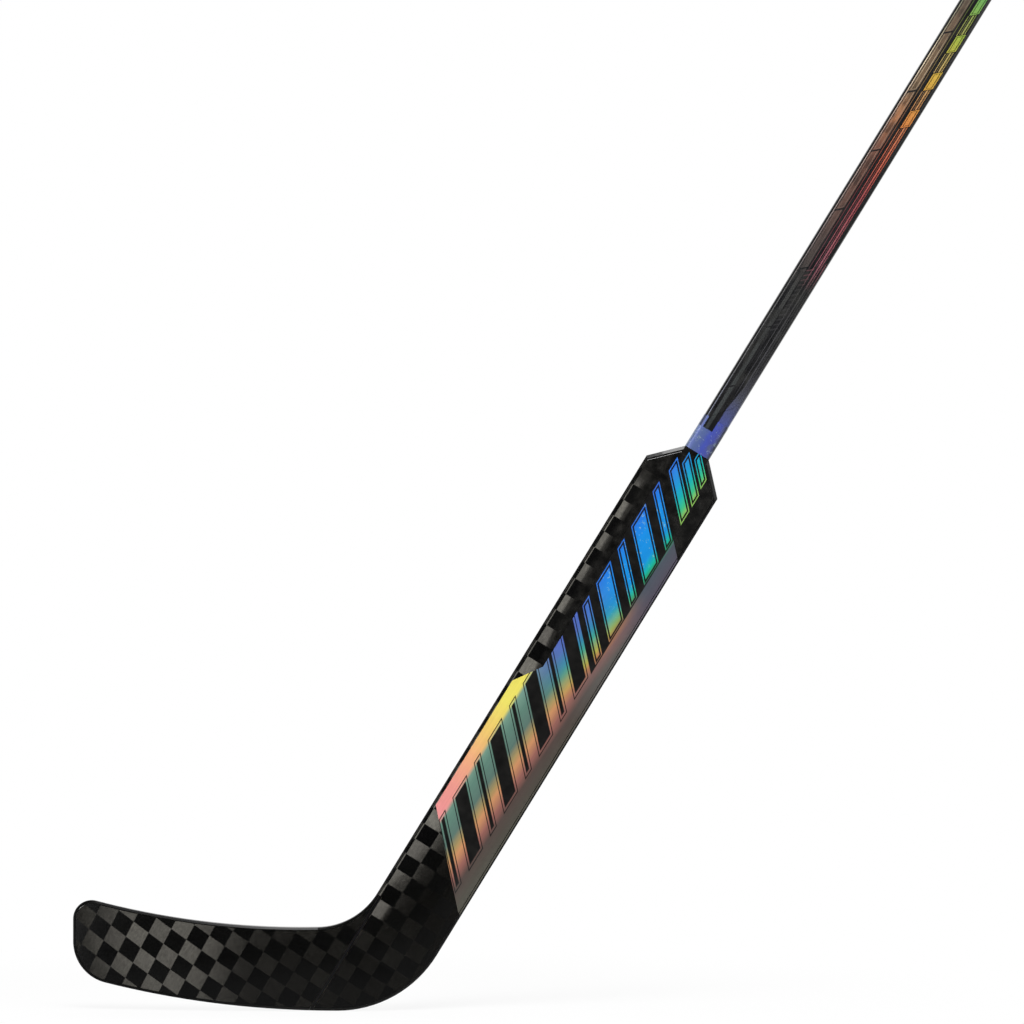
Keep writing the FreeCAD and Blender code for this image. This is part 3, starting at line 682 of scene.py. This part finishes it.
# Distance outside a long panel with slanted gaps
def shaftPanel(finish, slanted, coloured):
    look = shaftPrint
    left, right = look["panelReach"]
    side = finish.beyond(finish.across, left + (1 - coloured) * look["panelNarrow"], right)
    turn = ((slanted - look["colourFrom"]) / look["panelPitch"]).math("FRACT") * look["panelPitch"]
    return side.math("MAXIMUM", look["panelGap"] - turn)


def shaftStripes(finish, coloured):
    look = shaftPrint
    wanted = [(line, 1) for line in look["stripes"]]
    wanted += [(line, coloured * look["hairlineShare"]) for line in look["hairlines"]]
    wanted += [(look["edgeStripe"], 1 - coloured)]
    drawn = 0
    for (place, width), share in wanted:
        line = finish.band(finish.across, place - width / 2, place + width / 2, look["stripeSoft"])
        drawn = line * share + drawn
    return drawn * finish.rise(finish.along, *look["stripesFrom"])


# Blocks on the stripes: the ground that they clear, and their colour
def shaftBlocks(finish, slanted):
    look = shaftPrint
    first = look["blockFrom"] + look["blockPitch"] / 2
    ends = finish.fromRow(slanted, first, look["blockPitch"]) - look["blockHalf"]
    outside = ends.math("MAXIMUM", finish.beyond(finish.across, *look["blockReach"]))
    present = finish.rise(slanted, look["blockFrom"], look["blockFromSoft"])
    keyline = finish.band(outside, *look["blockKeyline"]) * look["blockKeylineShare"]
    block = finish.fall(outside, *look["blockEdge"]) - keyline
    return finish.fall(outside, *look["blockMargin"]) * present, block * present


def shaftHatch(finish, slanted):
    look = shaftPrint
    lines = finish.band((slanted / look["hatchPitch"]).math("FRACT"), *look["hatchLine"])
    reach = finish.band(finish.across, *look["hatchAcross"]) * finish.band(slanted, *look["hatchAlong"])
    return lines * reach * look["hatchShare"]


def shaftFinish():
    look = shaftPrint
    finish = Finish("shaftPrint")
    across, along = finish.across, finish.along
    slanted = finish.slanted(look["slant"])
    coloured = finish.rise(slanted, look["colourFrom"], look["colourSoft"])
    fibres = finish.grain(*look["fibres"])
    smoke = finish.rise(finish.grain(*look["smokeGrain"]), *look["smokeEdge"])
    smokeShare = look["smokeShare"] - coloured * look["smokeLess"]
    ground = finish.mix(finish.rise(fibres, *look["fibreEdge"]), look["ground"], look["fibre"])
    ground = finish.mix(smoke * smokeShare, ground, look["smoke"])
    foot = footPrint(finish)
    printed = finish.mix(foot, ground, finish.ramp(along, look["footColours"]))

    # The panel, with an outline in the coloured part, a painted highlight down the left corner, and painted
    # shade on both corners
    outside = shaftPanel(finish, slanted, coloured)
    panel = finish.fall(outside, *look["panelEdge"]) * (look["panelShare"] + fibres * look["panelGrain"])
    panel = panel * (1 - smoke * look["brushed"])
    printed = finish.mix(panel, printed, finish.ramp(along, look["panelColours"]))
    outline = finish.band(outside, *look["outline"]) * coloured * look["outlineShare"]
    edge = finish.band(across, *look["leftCornerHighlight"]).math("MAXIMUM", outline)
    printed = finish.mix(edge, printed, finish.ramp(along, look["outlineAndHighlightColours"]))
    corners = finish.band(across, *look["leftCornerShade"]) + finish.band(across, *look["rightCornerShade"]) * (1 - foot)
    printed = finish.mix(corners, printed, look["ink"])

    stripes = shaftStripes(finish, coloured)
    stripeColour = finish.ramp(along, look["stripeColours"])
    printed = finish.mix(stripes, printed, stripeColour)
    cleared, blocks = shaftBlocks(finish, slanted)
    printed = finish.mix(cleared, printed, look["ground"])
    printed = finish.mix(blocks, printed, finish.ramp(along, look["blockColours"]))
    printed = finish.mix(shaftHatch(finish, slanted), printed, stripeColour)

    front = finish.front(*look["printDepth"])
    return finish.surface({
        "Base Color": finish.mix(front, ground, printed),
        "Metallic": stripes.math("MAXIMUM", blocks).math("MINIMUM", 1) * front * look["metal"],
        "Roughness": look["rough"] + fibres * look["roughGrain"],
        "Normal": finish.bump(fibres, look["bump"]),
        "Coat Weight": look["coat"],
        "Coat Roughness": look["coatRough"],
    })


paint(shaftFinish(), "shaft_tube", "shaft_foil")
print("shaft printed")


# Violet band at the shaft's foot

footBand = {
    # Colours across the band; the dark last one is painted shade on the right corner
    "colours": [(-15, (112, 126, 150)), (-11, (120, 136, 204)), (-7, (104, 124, 180)), (-3, (98, 116, 182)),
                (1, (84, 100, 204)), (8, (88, 98, 186)), (11, (98, 104, 156)), (14, (58, 62, 72))],
    "clouds": (130, 3),
    "wander": 5,
    "dull": shade(104, 116, 132),
    "dullEdge": (0.62, 0.1),
    "dullShare": 0.5,
    "glint": shade(176, 196, 204),
    "glintShare": 0.6,
    "panelFrom": (700, 0.8),  # the dark print of the shaft starts on the band
    "panelReach": (-9.6, 1.8, 0.8),
    "ink": shade(28, 30, 32),
    # Painted shade on the left corner, where the shaft's print starts on the band: colour, edge and share
    "bandCornerShade": shade(58, 62, 84),
    "sideEdge": (-11.6, 1),
    "bandCornerShadeShare": 0.8,
    "stripe": shade(66, 70, 72),
    "stripeReach": (-7.4, -3.6, 0.8),
    "metal": 0.25,
    "rough": 0.28,
    "roughGrain": 0.1,
    "bump": 0.04,
    "coat": 0.6,
    "coatRough": 0.05,
}


def footBandFinish():
    look = footBand
    finish = Finish("footBand")
    across = finish.across
    clouds = finish.noise(finish.point, *look["clouds"])
    colour = finish.ramp(across + (clouds - 0.5) * look["wander"], look["colours"])
    colour = finish.mix(finish.rise(clouds, *look["dullEdge"]) * look["dullShare"], colour, look["dull"])
    colour = finish.mix(creases(finish) * look["glintShare"], colour, look["glint"])
    panel = finish.rise(finish.along, *look["panelFrom"]) * finish.front(*shaftPrint["printDepth"])
    # Painted shade on the left corner
    side = finish.fall(across, *look["sideEdge"]) * look["bandCornerShadeShare"]
    colour = finish.mix(side * panel, colour, look["bandCornerShade"])
    colour = finish.mix(finish.band(across, *look["panelReach"]) * panel, colour, look["ink"])
    colour = finish.mix(finish.band(across, *look["stripeReach"]) * panel, colour, look["stripe"])
    return finish.surface({
        "Base Color": colour,
        "Metallic": look["metal"],
        "Roughness": look["rough"] + clouds * look["roughGrain"],
        "Normal": finish.bump(clouds, look["bump"]),
        "Coat Weight": look["coat"],
        "Coat Roughness": look["coatRough"],
    })


paint(footBandFinish(), "shaft_foot_band")


# Rubber end plug

plug = {
    "dark": shade(24, 24, 25),
    "light": shade(44, 44, 45),
    "specks": (1500, 3),
    "speckEdge": (0.5, 0.5),
    "rough": 0.62,
    "roughGrain": 0.2,
    "bump": 0.2,
}


def plugFinish():
    finish = Finish("plugRubber")
    specks = finish.noise(finish.point, *plug["specks"])
    return finish.surface({
        "Base Color": finish.mix(finish.rise(specks, *plug["speckEdge"]), plug["dark"], plug["light"]),
        "Roughness": plug["rough"] + specks * plug["roughGrain"],
        "Normal": finish.bump(specks, plug["bump"]),
    })


paint(plugFinish(), "end_plug")
print("foot band and plug finished")


# Studio: the camera of the photograph

view = {
    "centre": Vector((0.1865, 0, 0.5331)),
    "width": 1.0955,
    "distance": 6.0,
    "sensor": 36,
}
cameraData = bpy.data.cameras.new("photoCamera")
cameraData.sensor_width = view["sensor"]
cameraData.lens = view["sensor"] * view["distance"] / view["width"]
camera = bpy.data.objects.new("photoCamera", cameraData)
camera.location = view["centre"] - backAxis * view["distance"]
camera.rotation_euler = (math.pi / 2, 0, 0)
bpy.context.scene.collection.objects.link(camera)
bpy.context.scene.camera = camera


# Soft lamps

lamps = {
    "stripLamp": {"place": (-0.093, -0.5, 0.85), "aim": (0.366, 0, 0.567), "up": alongAxis,
                  "size": (0.15, 1.35), "power": 1.5},
    "toeLamp": {"place": (-0.565, -0.5, 0.207), "aim": (-0.15, 0, 0.05), "up": alongAxis,
                "size": (0.235, 0.24), "power": 0.244},
    "topLamp": {"place": (0.2, -2.2, 4.4), "aim": (0.2, 0, 0.5), "up": backAxis,
                "size": (3.0, 2.4), "power": 205},
    "ceilingLamp": {"place": (0.3, 0.1, 2.4), "aim": (0.3, 0.1, 0), "up": backAxis,
                    "size": (0.9, 0.7), "power": 9},
    "sideLamp": {"place": (3.0, -0.9, 1.0), "aim": (0.2, 0, 0.5), "up": upAxis,
                 "size": (2.4, 2.4), "power": 16},
}
for name, lamp in lamps.items():
    lampData = bpy.data.lights.new(name, "AREA")
    lampData.shape = "RECTANGLE"
    lampData.size, lampData.size_y = lamp["size"]
    lampData.energy = lamp["power"]
    backward = (Vector(lamp["place"]) - Vector(lamp["aim"])).normalized()
    sideways = lamp["up"].cross(backward).normalized()
    turned = Matrix((sideways, backward.cross(sideways), backward)).transposed()
    lampObject = bpy.data.objects.new(name, lampData)
    lampObject.matrix_world = Matrix.Translation(lamp["place"]) @ turned.to_4x4()
    lampObject.visible_camera = False
    bpy.context.scene.collection.objects.link(lampObject)
print("camera and lamps set")


# A white room behind the stick and a dark one in front of it, and a white floor with a faint shadow.
# Edges on the walls are parts of a ray's direction, and those on the floor are in metres.

room = {
    "white": (1, 1, 1, 1),
    "front": 0.02,
    "behindFrom": (0.2, 0.6),
    "right": (0.2, 0.3),  # glossy surfaces see paler walls past here to the right
    "rightGlow": 0.14,
    "left": (0.85, 0.1),  # and past here to the left
    "leftGlow": 0.32,
    "floorHalf": 2.0,
    "floorPlace": (0.2, 0.6, 0),
    "floorTone": (0.8, 0.8, 0.8, 1),
    "floorGlow": 0.88,
    "floorBehind": (0.3, 0.6),  # glossy surfaces see a bright floor behind the stick
    "floorNear": (-0.5, 0.6),  # and a dim one just in front of it
    "nearGlow": 0.28,
    "shadowEdge": (0.6, 0.6),
}


def makeWalls():
    world = bpy.data.worlds.new("studio")
    bpy.context.scene.world = world
    walls = Shader(world, "ShaderNodeOutputWorld")
    facing = walls.add("ShaderNodeTexCoord", out="Generated")
    depth = walls.add("ShaderNodeSeparateXYZ", None, [facing], "Y")
    sideways = walls.add("ShaderNodeSeparateXYZ", None, [facing], "X")
    behind = walls.add("ShaderNodeMapRange", None, [depth, *room["behindFrom"], room["front"], 1])
    right = walls.rise(sideways, *room["right"]) * room["rightGlow"]
    left = walls.rise(0 - sideways, *room["left"]) * room["leftGlow"]
    bright = behind.math("MAXIMUM", (right + left) * walls.ray("Glossy")).math("MAXIMUM", walls.looked())
    walls.show(walls.add("ShaderNodeBackground", None, [room["white"], bright]))


def floorMaterial():
    material = bpy.data.materials.new("paleFloor")
    finish = Shader(material, "ShaderNodeOutputMaterial")
    spot = finish.add("ShaderNodeTexCoord", out="Object")
    depth = finish.add("ShaderNodeSeparateXYZ", None, [spot], "Y")
    seen = finish.looked()
    mirrored = finish.ray("Glossy")
    near = finish.rise(depth, *room["floorNear"]) * room["nearGlow"]
    bright = finish.rise(depth, *room["floorBehind"]).math("MAXIMUM", near)
    glow = finish.add("ShaderNodeEmission", None, [room["white"], seen + mirrored * bright])
    plain = finish.add("ShaderNodeBsdfDiffuse", None, [room["floorTone"]])
    shadowed = finish.fall(finish.vectorMath("LENGTH", [spot], "Value"), *room["shadowEdge"])
    share = seen.math("MAXIMUM", mirrored) * (1 - shadowed * (1 - room["floorGlow"]))
    finish.show(finish.add("ShaderNodeMixShader", None, [share, plain, glow]))
    return material


def makeFloor():
    floorMesh = bpy.data.meshes.new("studioFloor")
    builder = bmesh.new()
    bmesh.ops.create_grid(builder, x_segments=1, y_segments=1, size=room["floorHalf"])
    bmesh.ops.translate(builder, verts=builder.verts, vec=room["floorPlace"])
    builder.to_mesh(floorMesh)
    builder.free()
    floorMesh.materials.append(floorMaterial())
    floor = bpy.data.objects.new("studioFloor", floorMesh)
    bpy.context.scene.collection.objects.link(floor)


makeWalls()
makeFloor()
bpy.context.scene.view_settings.view_transform = "Standard"
print("studio lit")
